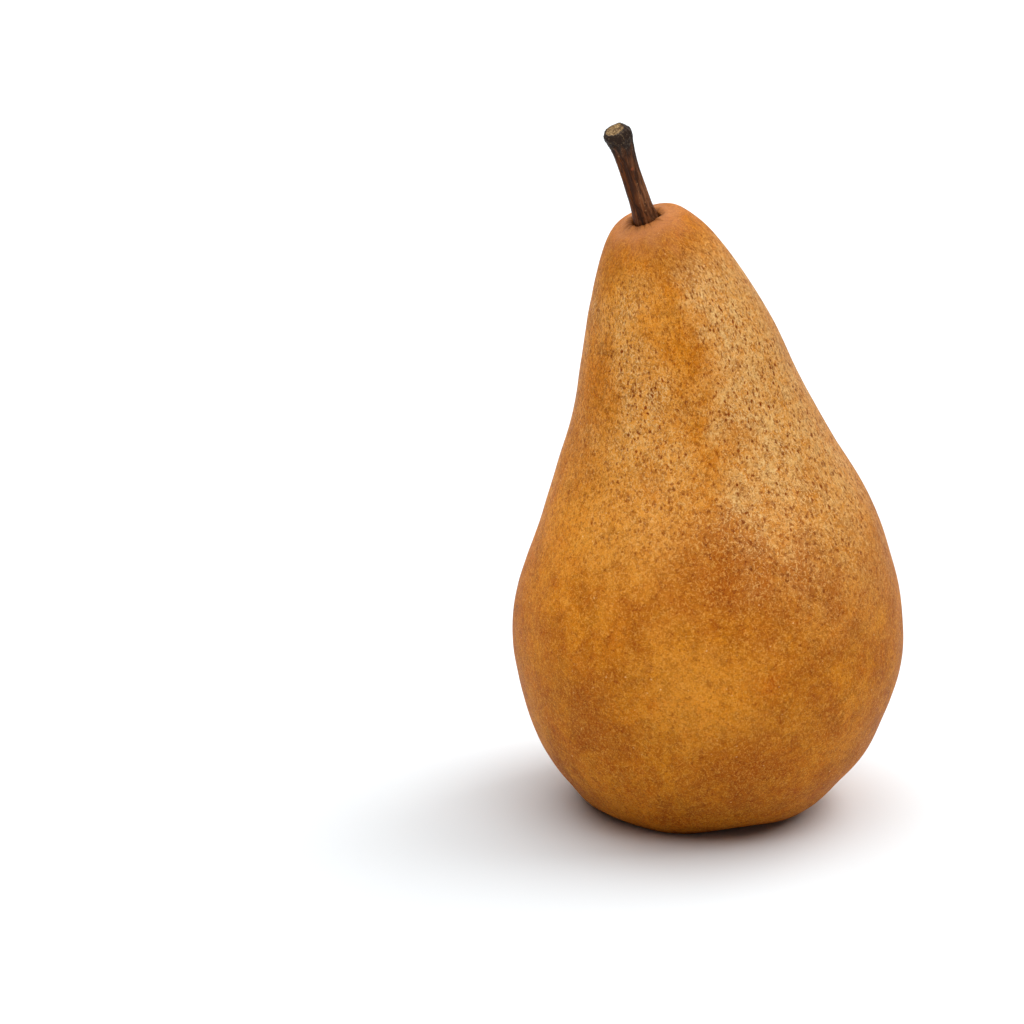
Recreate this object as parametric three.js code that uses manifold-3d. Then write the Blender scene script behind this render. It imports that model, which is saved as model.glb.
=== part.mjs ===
// A russet winter pear: the fruit, its woody stem, and the dried calyx in the basin underneath.
// Millimetres, +Z up. The fruit stands on its foot at z = 0, with its box centred on x = y = 0.
// The neck leans to -X and a little to -Y, and the stem leans on the same way.
import * as THREE from 'three';
import { mergeVertices } from 'three/addons/utils/BufferGeometryUtils.js';
import Module from 'manifold-3d';

// ---- Fruit: driving dimensions --------------------------------------------------------------
const BELLY_RADIUS = 35.1; // the widest ring of the outline
const CROWN_HEIGHT = 108.3; // foot to the lip round the stem, along the centre line
const AROUND = 64; // sides of the fruit
const ALONG = 46; // rings between the calyx basin and the stem dimple

// Radius and height of each station of the outline, in fractions of the two sizes above.
const OUTLINE = [
  [0, 0.046], // middle of the calyx basin
  [0.12, 0.042],
  [0.228, 0.017],
  [0.35, 0], // foot
  [0.588, 0.009],
  [0.735, 0.053],
  [0.877, 0.12],
  [0.993, 0.24],
  [1, 0.333], // belly
  [0.941, 0.425],
  [0.839, 0.513],
  [0.715, 0.6],
  [0.59, 0.702],
  [0.499, 0.794], // neck
  [0.397, 0.886],
  [0.301, 0.952],
  [0.203, 0.995], // shoulder of the crown
  [0.137, 1], // lip round the stem
  [0.092, 0.996],
  [0.074, 0.984], // dimple
];

// The stem stands in a plain hole at the bottom of the dimple.
const SOCKET_RADIUS = 2.55;
const SOCKET_FLOOR = 103.6; // height of the hole's floor along the centre line

// ---- Fruit: how it grew out of true ---------------------------------------------------------
const BEND_START = 20; // below this height the centre line is upright
const BEND_END = 111;
const LEAN_X = -11.6; // sideways lean of the neck, over the whole bend
const LEAN_Y = -3.5;
const LEAN_POWER = 2; // the lean grows with the square of the height
const TIP_LEAN_X = -1.5; // the last few millimetres of the crown tip over further
const TIP_LEAN_Y = -1.2;
const TIP_POWER = 8;
const FOOT_TILT = 0.05; // slope of the rings at the foot, level again at BEND_START
const BODY_SHIFT_X = 0.1; // these two centre the box on the origin
const BODY_SHIFT_Y = -0.25;

// Gentle swellings of the sides: height, reach up and down, direction in degrees, amount.
const SWELLINGS = [
  { height: 54, reach: 9, toward: -10, amount: 0.7 },
  { height: 12, reach: 8, toward: 180, amount: 0.6 },
  { height: 62, reach: 13, toward: 115, amount: 0.7 },
  { height: 24, reach: 11, toward: 75, amount: 0.5 },
];
const SWELLING_FULL_RADIUS = 20; // nearer the axis than this the swellings fade out

// Five low lobes round the calyx basin carry the fruit.
const LOBES = 5;
const LOBE_DIRECTION = -110; // degrees, the middle of one lobe
const LOBE_HEIGHT = 0.95;
const LOBE_RADIUS = 13.5;
const LOBE_REACH = 7;
const FOOT_SINK = 0.3; // the lobes are worn flat by this much, so they stand firmly
const UNDERSIDE = 20; // lobes only exist below this height

// ---- Stem ------------------------------------------------------------------------------------
const STEM_ROOT = new THREE.Vector3(-10.65, -3.85, 104); // foot of the stem, down in its hole
const STEM_TIP = new THREE.Vector3(-17.3, -8, 124.6); // middle of the cut face
const STEM_AROUND = 24;
const STEM_ALONG = 26;
const STEM_RIBS = 5; // shallow ribs of the bark
const STEM_RIB_DEPTH = 0.035; // fraction of the radius
const STEM_TWIST = 0.05; // radians of twist per millimetre
const STEM_BOW = 0.4; // how far it bows backward at mid length
const CUT_SLOPE = 0.14; // the cut face is lower on the -X side
const CUT_REACH = 3; // length of stem over which that slope fades in

// Radius, and distance from the root, of the stem's outline.
const STEM_OUTLINE = [
  [1.6, 0.3],
  [1.8, 1.6],
  [2.05, 3.2],
  [2.18, 4.6], // where it leaves the skin
  [1.85, 7],
  [1.62, 9.5],
  [1.56, 13],
  [1.6, 16.5],
  [1.85, 18.9],
  [2.32, 20.6], // knob at the end
  [2.36, 21.8],
  [2.05, 22.5],
  [1.75, 22.4], // rim of the cut
];
const CUT_DEPTH = 22.15; // the middle of the cut is a little lower than its rim

// ---- Calyx -----------------------------------------------------------------------------------
const SEPALS = 5;
const CALYX_CENTRE = new THREE.Vector3(BODY_SHIFT_X, BODY_SHIFT_Y, 0);
const CUP_AROUND = 30;
const CUP_OUTLINE = [
  // radius and height of the small cup that the sepals grow from, open downwards; its top is
  // just clear of the floor of the basin
  [0, 4.2],
  [2.7, 4.2],
  [3.1, 3.7],
  [2.9, 2.9],
  [2.3, 2.8],
  [1.7, 3.4],
  [0, 3.5],
];
const SEPAL_LENGTH = 3.9;
const SEPAL_WIDTH = 2.5;
const SEPAL_THICKNESS = 0.7;
const SEPAL_ROOT_RADIUS = 2.6;
const SEPAL_ROOT_HEIGHT = 3.75;
const SEPAL_START = -82; // degrees below level at the root
const SEPAL_END = -8; // and at the tip, which has curled outward
const SEPAL_TIP_WIDTH = 0.25; // fraction of the full width
const SEPAL_STEPS = 8;

// ---- Fruit -----------------------------------------------------------------------------------

// Sideways place of the centre line at a height, and how steeply it runs there.
function centreLine(height) {
  const reach = BEND_END - BEND_START;
  const up = Math.max(0, (height - BEND_START) / reach);
  const down = Math.max(0, 1 - height / BEND_START);
  const lean = up ** LEAN_POWER;
  const leanSlope = (LEAN_POWER * up ** (LEAN_POWER - 1)) / reach;
  const tip = up ** TIP_POWER;
  const tipSlope = (TIP_POWER * up ** (TIP_POWER - 1)) / reach;
  const x = BODY_SHIFT_X + LEAN_X * lean + TIP_LEAN_X * tip;
  const slopeX = LEAN_X * leanSlope + TIP_LEAN_X * tipSlope - FOOT_TILT * down;
  const y = BODY_SHIFT_Y + LEAN_Y * lean + TIP_LEAN_Y * tip;
  const slopeY = LEAN_Y * leanSlope + TIP_LEAN_Y * tipSlope;
  const tangent = new THREE.Vector3(slopeX, slopeY, 1).normalize();
  return { point: new THREE.Vector3(x, y, height), tangent };
}

// A smooth hump of height 1 at its centre.
function hump(value, centre, reach) {
  return Math.exp(-(((value - centre) / reach) ** 2));
}

function swollenRadius(radius, height, angle) {
  const share = Math.min(1, radius / SWELLING_FULL_RADIUS);
  let grown = radius;
  for (const swelling of SWELLINGS) {
    const facing = Math.cos(angle - THREE.MathUtils.degToRad(swelling.toward));
    grown += swelling.amount * hump(height, swelling.height, swelling.reach) * facing * share;
  }
  return grown;
}

// How much the lobes and the worn foot lower the underside at a point.
function footDrop(radius, height, angle) {
  if (height > UNDERSIDE) {
    return 0;
  }
  const ridge = Math.cos(LOBES * (angle - THREE.MathUtils.degToRad(LOBE_DIRECTION)));
  return (LOBE_HEIGHT * ridge + FOOT_SINK) * hump(radius, LOBE_RADIUS, LOBE_REACH);
}

// Moves a point of the straight, round body to its place on the leaning, lobed fruit.
function growFruit(point) {
  const angle = Math.atan2(point.y, point.x);
  const height = point.z;
  const straightRadius = Math.hypot(point.x, point.y);
  const radius = swollenRadius(straightRadius, height, angle);
  const { point: centre, tangent } = centreLine(height);
  const across = new THREE.Vector3(1, 0, 0).addScaledVector(tangent, -tangent.x).normalize();
  const along = new THREE.Vector3().crossVectors(tangent, across);
  point.copy(centre);
  point.addScaledVector(across, radius * Math.cos(angle));
  point.addScaledVector(along, radius * Math.sin(angle));
  point.z -= footDrop(straightRadius, height, angle);
  if (height < UNDERSIDE) {
    point.z = Math.max(0, point.z);
  }
}

function movePoints(geometry, move) {
  const position = geometry.attributes.position;
  const point = new THREE.Vector3();
  for (let i = 0; i < position.count; i += 1) {
    point.fromBufferAttribute(position, i);
    move(point);
    position.setXYZ(i, point.x, point.y, point.z);
  }
  return geometry;
}

// A turned solid about +Z, with its doubled vertices merged.
function turned(outline, sides) {
  const geometry = new THREE.LatheGeometry(outline, sides);
  geometry.deleteAttribute('normal');
  geometry.deleteAttribute('uv');
  return mergeVertices(geometry.rotateX(Math.PI / 2));
}

function makeFruit() {
  const stations = OUTLINE.map(([r, h]) => new THREE.Vector2(r * BELLY_RADIUS, h * CROWN_HEIGHT));
  const outline = new THREE.SplineCurve(stations).getPoints(ALONG);
  outline[0].x = 0;
  outline.push(new THREE.Vector2(SOCKET_RADIUS, SOCKET_FLOOR + 1));
  outline.push(new THREE.Vector2(SOCKET_RADIUS, SOCKET_FLOOR));
  outline.push(new THREE.Vector2(0, SOCKET_FLOOR));
  return movePoints(turned(outline, AROUND), growFruit);
}

// ---- Stem ------------------------------------------------------------------------------------

function makeStem() {
  const stations = STEM_OUTLINE.map(([r, h]) => new THREE.Vector2(r, h));
  const bark = new THREE.SplineCurve(stations).getPoints(STEM_ALONG);
  const outline = [new THREE.Vector2(0, 0), new THREE.Vector2(STEM_OUTLINE[0][0], 0), ...bark];
  outline.push(new THREE.Vector2(0, CUT_DEPTH));
  const length = STEM_ROOT.distanceTo(STEM_TIP);
  return movePoints(turned(outline, STEM_AROUND), (point) => {
    const angle = Math.atan2(point.y, point.x);
    const rib = 1 + STEM_RIB_DEPTH * Math.cos(STEM_RIBS * angle + STEM_TWIST * point.z);
    const sloped = Math.max(0, (point.z - length + CUT_REACH) / CUT_REACH);
    point.x *= rib;
    point.y *= rib;
    point.z += CUT_SLOPE * point.x * sloped;
    point.y += STEM_BOW * Math.sin((Math.PI * point.z) / length);
  });
}

// ---- Calyx -----------------------------------------------------------------------------------

// One sepal: a thin blade that runs down from the cup and curls outward, tapering to its tip.
function makeSepal(turn) {
  const size = [SEPAL_LENGTH, SEPAL_WIDTH, SEPAL_THICKNESS];
  const blade = new THREE.BoxGeometry(...size, SEPAL_STEPS, 2, 1);
  blade.deleteAttribute('normal');
  blade.deleteAttribute('uv');
  const start = THREE.MathUtils.degToRad(SEPAL_START);
  const sweep = THREE.MathUtils.degToRad(SEPAL_END) - start;
  const bendRadius = SEPAL_LENGTH / sweep;
  movePoints(blade, (point) => {
    const share = point.x / SEPAL_LENGTH + 0.5;
    const heading = start + sweep * share;
    const outward = bendRadius * (Math.sin(heading) - Math.sin(start));
    const drop = bendRadius * (Math.cos(start) - Math.cos(heading));
    const width = 1 - (1 - SEPAL_TIP_WIDTH) * share ** 2;
    const lift = point.z;
    point.y *= width;
    point.x = SEPAL_ROOT_RADIUS + outward - lift * Math.sin(heading);
    point.z = SEPAL_ROOT_HEIGHT + drop + lift * Math.cos(heading);
  });
  return mergeVertices(blade).rotateZ(turn);
}

function toSolid(wasm, geometry) {
  const vertProperties = new Float32Array(geometry.attributes.position.array);
  const triVerts = new Uint32Array(geometry.index.array);
  return new wasm.Manifold(new wasm.Mesh({ numProp: 3, vertProperties, triVerts }));
}

function toGeometry(solid) {
  const { vertProperties, triVerts } = solid.getMesh();
  const geometry = new THREE.BufferGeometry();
  geometry.setAttribute('position', new THREE.BufferAttribute(vertProperties, 3));
  geometry.setIndex(new THREE.BufferAttribute(triVerts, 1));
  return geometry;
}

function makeCalyx(wasm) {
  const outline = CUP_OUTLINE.map(([r, h]) => new THREE.Vector2(r, h)).reverse();
  let calyx = toSolid(wasm, turned(outline, CUP_AROUND));
  for (let i = 0; i < SEPALS; i += 1) {
    calyx = calyx.add(toSolid(wasm, makeSepal((i / SEPALS) * 2 * Math.PI)));
  }
  return toGeometry(calyx);
}

// ---- Assembly --------------------------------------------------------------------------------
const skin = new THREE.MeshStandardMaterial({ color: 0xb9752f, roughness: 0.55, metalness: 0 });
const bark = new THREE.MeshStandardMaterial({ color: 0x4a2a17, roughness: 0.6, metalness: 0 });
const driedLeaf = new THREE.MeshStandardMaterial({ color: 0x3f2c1c, roughness: 0.85, metalness: 0 });

const wasm = await Module();
wasm.setup();

const fruit = new THREE.Mesh(makeFruit(), skin);
fruit.name = 'fruit';

const stem = new THREE.Mesh(makeStem(), bark);
stem.name = 'stem';
stem.position.copy(STEM_ROOT);
stem.quaternion.setFromUnitVectors(
  new THREE.Vector3(0, 0, 1),
  STEM_TIP.clone().sub(STEM_ROOT).normalize(),
);

const calyx = new THREE.Mesh(makeCalyx(wasm), driedLeaf);
calyx.name = 'calyx';
calyx.position.copy(CALYX_CENTRE);

const group = new THREE.Group();
group.add(fruit, stem, calyx);

export default group;
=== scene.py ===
# %% [markdown]
# # A russet winter pear
# A pear is one grown body: skin and flesh in one piece, with a woody stem standing in a dimple at
# the top and the dried calyx, which is what the flower leaves behind, in a basin underneath.
# This script takes the measured solids of the three pieces as a fixed frame and gives each of
# them its finished surface. It works in the frame's metres, but all sizes are written in
# millimetres, because that is how a fruit is measured.

# %% Load the frame
import math

import bmesh
import bpy
from mathutils import Matrix, Vector, noise
from mathutils.geometry import interpolate_bezier


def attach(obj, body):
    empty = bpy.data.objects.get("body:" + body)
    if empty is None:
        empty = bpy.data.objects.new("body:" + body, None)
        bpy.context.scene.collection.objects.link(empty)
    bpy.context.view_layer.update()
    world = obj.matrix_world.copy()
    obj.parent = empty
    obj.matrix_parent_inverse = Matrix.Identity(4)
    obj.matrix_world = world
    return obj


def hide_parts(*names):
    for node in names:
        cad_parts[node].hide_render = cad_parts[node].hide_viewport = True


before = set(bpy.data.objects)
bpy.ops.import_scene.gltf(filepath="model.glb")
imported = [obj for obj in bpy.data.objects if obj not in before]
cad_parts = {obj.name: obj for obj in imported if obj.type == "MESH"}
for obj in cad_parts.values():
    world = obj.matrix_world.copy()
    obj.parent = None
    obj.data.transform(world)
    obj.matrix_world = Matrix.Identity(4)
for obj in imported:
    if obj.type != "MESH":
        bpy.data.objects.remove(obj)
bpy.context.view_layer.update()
MM = 0.001  # one millimetre, in metres
print("nodes in the frame:", sorted(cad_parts))

# %% [markdown]
# ## The camera
# A long lens from some way off keeps a small object calm: the stem and the foot are seen at
# nearly the same scale. The pear stands right of the middle of the picture, so the camera aims
# at a point beside it. The focal length follows from how many pixels a millimetre should cover.

# %% Camera
CAMERA_ELEVATION = 16  # degrees above the horizon
CAMERA_DISTANCE = 700 * MM
CAMERA_TARGET = Vector((-35.5, 0, 54.25)) * MM
IMAGE_WIDTH = 1024  # pixels
PIXELS_PER_MM = 5.557  # where the pear stands
SENSOR_WIDTH = 36  # millimetres

lens = bpy.data.cameras.new("camera")
lens.sensor_width = SENSOR_WIDTH
lens.lens = SENSOR_WIDTH * PIXELS_PER_MM * (CAMERA_DISTANCE / MM) / IMAGE_WIDTH
camera = bpy.data.objects.new("camera", lens)
tilt = math.radians(CAMERA_ELEVATION)
camera.location = CAMERA_TARGET + CAMERA_DISTANCE * Vector((0, -math.cos(tilt), math.sin(tilt)))
camera.rotation_euler = (math.pi / 2 - tilt, 0, 0)
bpy.context.scene.collection.objects.link(camera)
bpy.context.scene.camera = camera
print("focal length:", round(lens.lens, 1), "mm")

# %% [markdown]
# ## The floor
# The pear stands on a sheet of white paper. It is matt, so it shows a soft shadow and no mirror
# image, and it is so large that its edge is never seen. It is a touch blue, because the golden
# fruit throws a warm light on whatever lies round it.

# %% Floor
FLOOR_SIZE = 8  # metres
FLOOR_COLOUR = (0.86, 0.875, 0.89, 1)

paper = bpy.data.materials.new("floor_white")
paper.use_nodes = True
paper_surface = paper.node_tree.nodes["Principled BSDF"]
paper_surface.inputs["Base Color"].default_value = FLOOR_COLOUR
paper_surface.inputs["Roughness"].default_value = 0.9
paper_surface.inputs["Specular IOR Level"].default_value = 0.1

sheet = bmesh.new()
bmesh.ops.create_grid(sheet, x_segments=1, y_segments=1, size=FLOOR_SIZE / 2)
floor_mesh = bpy.data.meshes.new("floor")
sheet.to_mesh(floor_mesh)
sheet.free()
floor_mesh.materials.append(paper)
floor = bpy.data.objects.new("floor", floor_mesh)
bpy.context.scene.collection.objects.link(floor)
print("floor:", FLOOR_SIZE, "m square")

# %% [markdown]
# ## Studio light
# Large panels near a small object give soft light. One hangs overhead. A narrow, bright one
# stands in front to the left, and a wider, weaker one to the right, which models the round body:
# the left flank is bright, and the belly turns slowly darker to the right. A broad one behind
# brightens the rims. The floor is lit by two panels of its own, for a reason that a later cell
# gives. The sky adds a little light from everywhere, so no side is black.

# %% Panels and sky
SKY_STRENGTH = 0.08
WHITE = (1, 1, 1)
COOL_WHITE = (0.96, 0.99, 1)
AIM_HEIGHT = 60 * MM  # the panels face the middle of the pear

world = bpy.data.worlds.new("studio")
world.use_nodes = True
world.node_tree.nodes["Background"].inputs["Color"].default_value = (*WHITE, 1)
world.node_tree.nodes["Background"].inputs["Strength"].default_value = SKY_STRENGTH
bpy.context.scene.world = world
bpy.context.scene.view_settings.view_transform = "Standard"


def add_panel(name, width, height, brightness, azimuth, elevation, distance, tint=WHITE):
    """A soft panel that faces the pear. Azimuth 0 is behind the camera, and 90 is to its right."""
    panel = bpy.data.lights.new(name, "AREA")
    panel.shape = "RECTANGLE"
    panel.size = width
    panel.size_y = height
    panel.energy = brightness * width * height * math.pi
    panel.color = tint
    turn = math.radians(azimuth)
    rise = math.radians(elevation)
    direction = Vector((math.sin(turn) * math.cos(rise), -math.cos(turn) * math.cos(rise), math.sin(rise)))
    light = bpy.data.objects.new(name, panel)
    light.location = direction * distance + Vector((0, 0, AIM_HEIGHT))
    light.rotation_euler = direction.to_track_quat("Z", "Y").to_euler()
    light.visible_camera = False
    bpy.context.scene.collection.objects.link(light)
    print(name, "at", [round(c, 2) for c in light.location])
    return light


# name, width, height, brightness, azimuth, elevation, distance
fruit_panels = [
    add_panel("panel_above", 3.2, 3.2, 2.6, 180, 88, 2.0),
    add_panel("panel_left", 0.36, 0.8, 8.8, -36, 32, 1.5),
    add_panel("panel_right", 0.7, 0.8, 3.4, 60, 34, 1.5),
]
floor_panels = [
    add_panel("floor_above", 3.2, 3.2, 2.0, 180, 88, 2.0, COOL_WHITE),
    add_panel("floor_side", 1.6, 1.2, 3.4, 112, 46, 1.8, COOL_WHITE),
]
add_panel("panel_behind", 3.4, 1.8, 0.9, 180, 24, 2.0)

# %% [markdown]
# ## Turned and smoothed outlines
# The fruit, the stem and the calyx cup all start as an outline turned round an axis, as on a
# lathe. Only the stations that the shape needs are written down. Between them a smooth curve is
# laid: each stretch is a Bezier whose handles are a sixth of the way between the neighbouring
# stations, so the curve passes through every station without a corner.

# %% Turned outlines
MERGE_DISTANCE = 0.0005  # points nearer each other than this become one


def smooth_outline(stations, steps):
    """Points on a smooth curve through stations of (radius, height)."""
    corners = [Vector((radius, 0, height)) for radius, height in stations]
    last = len(corners) - 1
    points = []
    for i in range(last):
        here = corners[i]
        there = corners[i + 1]
        leaving = here + (there - corners[max(i - 1, 0)]) / 6
        arriving = there - (corners[min(i + 2, last)] - here) / 6
        points += interpolate_bezier(here, leaving, arriving, there, steps + 1)[:-1]
    return points + [corners[last]]


def turned(outline, sides):
    """A closed form made by turning an outline once round the Z axis."""
    form = bmesh.new()
    points = [form.verts.new(point) for point in outline]
    edges = [form.edges.new(pair) for pair in zip(points, points[1:])]
    bmesh.ops.spin(
        form,
        geom=points + edges,
        cent=(0, 0, 0),
        axis=(0, 0, 1),
        dvec=(0, 0, 0),
        angle=math.tau,
        steps=sides,
        use_merge=True,
        use_duplicate=False,
    )
    bmesh.ops.remove_doubles(form, verts=form.verts, dist=MERGE_DISTANCE)
    bmesh.ops.recalc_face_normals(form, faces=form.faces)
    return form


print("one stretch in 4 steps has", len(smooth_outline([(0, 0), (1, 0)], 4)), "points")

# %% [markdown]
# Two small functions blend one shape into another: a hump, and a rise. The last helper makes an
# object of a finished form and puts it in the place of one of the measured solids.

# %% Blends and finished pieces


def hump(value, centre, reach):
    """A smooth hump that is 1 at its centre."""
    return math.exp(-(((value - centre) / reach) ** 2))


def rise_between(value, low, high):
    """0 below low, 1 above high, and a smooth rise between them."""
    share = min(1, max(0, (value - low) / (high - low)))
    return share * share * (3 - 2 * share)


def finish_piece(form, name, stands_for):
    """Makes an object of a form in millimetres, and puts it in the place of a solid of the frame."""
    for face in form.faces:
        face.smooth = True
    bmesh.ops.scale(form, vec=(MM, MM, MM), verts=form.verts)
    mesh = bpy.data.meshes.new(name)
    form.to_mesh(mesh)
    form.free()
    piece = bpy.data.objects.new(name, mesh)
    bpy.context.scene.collection.objects.link(piece)
    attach(piece, "root")
    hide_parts(stands_for)
    print(name, "has", len(mesh.polygons), "faces")
    return piece


print("a hump one reach away from its centre is", round(hump(1, 0, 1), 2))

# %% [markdown]
# ## The fruit
# The outline runs from the middle of the basin underneath, over the foot, the belly, the long
# neck and the crown, into the dimple, where it closes round the stem. It is written in fractions
# of two sizes, so the whole fruit follows when either changes. Sculpting would also give a pear,
# but an outline keeps the skin smooth and the sizes exact.

# %% Outline of the fruit
BELLY_RADIUS = 35.1
CROWN_HEIGHT = 108.3
FRUIT_SIDES = 288
FRUIT_STEPS = 14  # rings between two stations

FRUIT_OUTLINE = [
    (0, 0.046),  # middle of the basin
    (0.12, 0.042),
    (0.228, 0.017),
    (0.35, 0),  # foot
    (0.588, 0.009),
    (0.735, 0.053),
    (0.877, 0.12),
    (0.997, 0.24),
    (1, 0.333),  # belly
    (0.941, 0.425),
    (0.839, 0.513),
    (0.715, 0.6),
    (0.59, 0.702),
    (0.499, 0.794),  # neck
    (0.397, 0.886),
    (0.301, 0.952),
    (0.203, 0.995),  # shoulder of the crown
    (0.137, 1.003),
    (0.1, 1.007),
    (0.076, 1.008),  # the skin closes on the stem
    (0.063, 1.002),
    (0.057, 0.985),
    (0.03, 0.975),
    (0, 0.975),
]
stations = [(r * BELLY_RADIUS, h * CROWN_HEIGHT) for r, h in FRUIT_OUTLINE]
fruit_form = turned(smooth_outline(stations, FRUIT_STEPS), FRUIT_SIDES)
print("turned fruit:", len(fruit_form.verts), "points")

# %% [markdown]
# Turning gives a perfect pear, and no tree grows one. The neck bends towards the light, more and
# more with its height. So the straight axis is swapped for a curved centre line, and each ring
# of points is set square to it. Above, the crown tips forward a little.

# %% Lean of the neck
BEND_START = 20  # below this height the centre line is upright
BEND_END = 111
LEAN = Vector((-11.6, -3.5, 0))  # sideways, over the whole bend
LEAN_POWER = 2
TIP_LEAN = Vector((-1.5, -1.2, 0))  # the last millimetres of the crown tip over further
TIP_POWER = 8
CROWN_TILT = 0.08  # rise of the crown towards the back
CROWN_TILT_START, CROWN_TILT_END = 100, 110
FOOT_TILT = 0.05  # slope of the rings at the foot
BODY_SHIFT = Vector((0.1, -0.25, 0))


def centre_line(height):
    """Where the middle of the fruit is at a height, and the direction it grows in there."""
    bend = BEND_END - BEND_START
    up = max(0, (height - BEND_START) / bend)
    down = max(0, 1 - height / BEND_START)
    point = BODY_SHIFT + LEAN * up**LEAN_POWER + TIP_LEAN * up**TIP_POWER
    point.z = height
    slope = LEAN * (LEAN_POWER * up ** (LEAN_POWER - 1) / bend)
    slope += TIP_LEAN * (TIP_POWER * up ** (TIP_POWER - 1) / bend)
    slope.x -= FOOT_TILT * down
    return point, Vector((slope.x, slope.y, 1)).normalized()


print("middle of the crown:", [round(c, 1) for c in centre_line(CROWN_HEIGHT)[0]])

# %% [markdown]
# The flesh is fuller on some sides than on others, and underneath the fruit rises into five low
# lobes, one behind each sepal, which it stands on. Each swelling has a height, a direction and
# an amount, and fades away smoothly from there.

# %% Swellings and lobes
SWELLINGS = [
    # height, reach up and down, direction in degrees, amount
    (54, 9, -10, 0.7),
    (20, 7.5, 180, 0.9),
    (22.5, 7, 0, 0.65),
    (62, 13, 115, 0.7),
    (24, 11, 75, 0.5),
]
SWELLING_FULL_RADIUS = 20  # nearer the axis than this, a swelling is weaker
LOBES = 5
LOBE_DIRECTION = math.radians(-110)
LOBE_HEIGHT = 0.95
LOBE_RADIUS = 13.5
LOBE_REACH = 7
FOOT_SINK = 0.3
UNDERSIDE = 20  # below this height the lobes and the pleats of the basin are shaped


def swollen_radius(radius, height, angle):
    """The radius with every swelling added. The side away from a swelling is flatter."""
    share = min(1, radius / SWELLING_FULL_RADIUS)
    grown = radius
    for at, reach, direction, amount in SWELLINGS:
        towards = math.cos(angle - math.radians(direction))
        grown += amount * hump(height, at, reach) * towards * share
    return grown


def foot_drop(radius, height, angle):
    """How far a point of the underside comes down, which is most on a lobe."""
    if height > UNDERSIDE:
        return 0
    ridge = math.cos(LOBES * (angle - LOBE_DIRECTION))
    return (LOBE_HEIGHT * ridge + FOOT_SINK) * hump(radius, LOBE_RADIUS, LOBE_REACH)


def grown_place(point):
    """Where a point of the straight, round body is on the leaning, lobed fruit."""
    angle = math.atan2(point.y, point.x)
    straight_radius = math.hypot(point.x, point.y)
    radius = swollen_radius(straight_radius, point.z, angle)
    centre, upward = centre_line(point.z)
    across = (Vector((1, 0, 0)) - upward * upward.x).normalized()
    along = upward.cross(across)
    place = centre + across * radius * math.cos(angle) + along * radius * math.sin(angle)
    place.z += CROWN_TILT * point.y * rise_between(point.z, CROWN_TILT_START, CROWN_TILT_END)
    place.z -= foot_drop(straight_radius, point.z, angle)
    return place


print("swellings:", len(SWELLINGS), "and lobes:", LOBES)

# %% [markdown]
# The skin is not quite even either. Long shallow waves run over the whole fruit, and where the
# flesh closes round the stem and round the calyx it is drawn into short pleats, with one deeper
# crevice beside the stem. All of it is real relief, so it is made of moved points. Finer
# roughness comes later, from the material. Each point also keeps its place on the straight body
# in a layer called straight, for the material to use.

# %% Waves and pleats
WAVE_SIZE = 15
WAVE_HEIGHT = 0.28
RIPPLE_SIZE = 4.5
RIPPLE_HEIGHT = 0.06
CROWN_START = CROWN_HEIGHT * 0.9  # the pleats of the crown are above this height
CROWN_PLEATS = 5.5  # more of it gives more pleats
CROWN_PLEAT_RADIUS = 3
CROWN_PLEAT_REACH = 1.6
CROWN_PLEAT_DEPTH = 0.16
CROWN_PLEAT_DRIFT = 0.15  # change of the pleats with each millimetre from the stem
CREVICE_DIRECTION = math.radians(18)
CREVICE_WIDTH = math.radians(34)
CREVICE_RADIUS = 2.7
CREVICE_REACH = 0.9
CREVICE_DEPTH = 0.9
BASIN_PLEATS = 6
BASIN_PLEAT_RADIUS = 6
BASIN_PLEAT_REACH = 4
BASIN_PLEAT_DEPTH = 0.8
BASIN_PLEAT_DRIFT = 0.1


def pleat(angle, radius, count, drift):
    """Uneven pleats round an axis: -1 to 1."""
    around = Vector((math.cos(angle), math.sin(angle), 0)) * count
    return noise.noise(around + Vector((0, 0, radius * drift + count)))


def skin_relief(straight, place):
    """How far the skin stands out of the smooth form, in millimetres."""
    angle = math.atan2(straight.y, straight.x)
    radius = math.hypot(straight.x, straight.y)
    relief = WAVE_HEIGHT * noise.noise(place / WAVE_SIZE)
    relief += RIPPLE_HEIGHT * noise.noise(place / RIPPLE_SIZE)
    if straight.z > CROWN_START:
        share = hump(radius, CROWN_PLEAT_RADIUS, CROWN_PLEAT_REACH)
        relief += CROWN_PLEAT_DEPTH * share * pleat(angle, radius, CROWN_PLEATS, CROWN_PLEAT_DRIFT)
        beside = hump(angle, CREVICE_DIRECTION, CREVICE_WIDTH)
        relief -= CREVICE_DEPTH * beside * hump(radius, CREVICE_RADIUS, CREVICE_REACH)
    if straight.z < UNDERSIDE:
        share = hump(radius, BASIN_PLEAT_RADIUS, BASIN_PLEAT_REACH)
        relief += BASIN_PLEAT_DEPTH * share * pleat(angle, radius, BASIN_PLEATS, BASIN_PLEAT_DRIFT)
    return relief


straight_places = [vertex.co.copy() for vertex in fruit_form.verts]
straight_layer = fruit_form.verts.layers.float_vector.new("straight")
for vertex in fruit_form.verts:
    vertex[straight_layer] = vertex.co
    vertex.co = grown_place(vertex.co)
fruit_form.normal_update()
for vertex, straight in zip(fruit_form.verts, straight_places):
    relief = skin_relief(straight, vertex.co)
    vertex.co += vertex.normal * relief
    vertex.co.z = max(0, vertex.co.z)
fruit = finish_piece(fruit_form, "pear_fruit", "fruit")

# %% [markdown]
# ## The stem
# The stem is wood: a slim stalk that widens where it leaves the fruit and again at the knob
# where it parted from the twig. It is turned upright first, which keeps its ribs, its lumpy
# knob and its sloping cut easy to describe, and only then set at its angle in the dimple.

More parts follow.
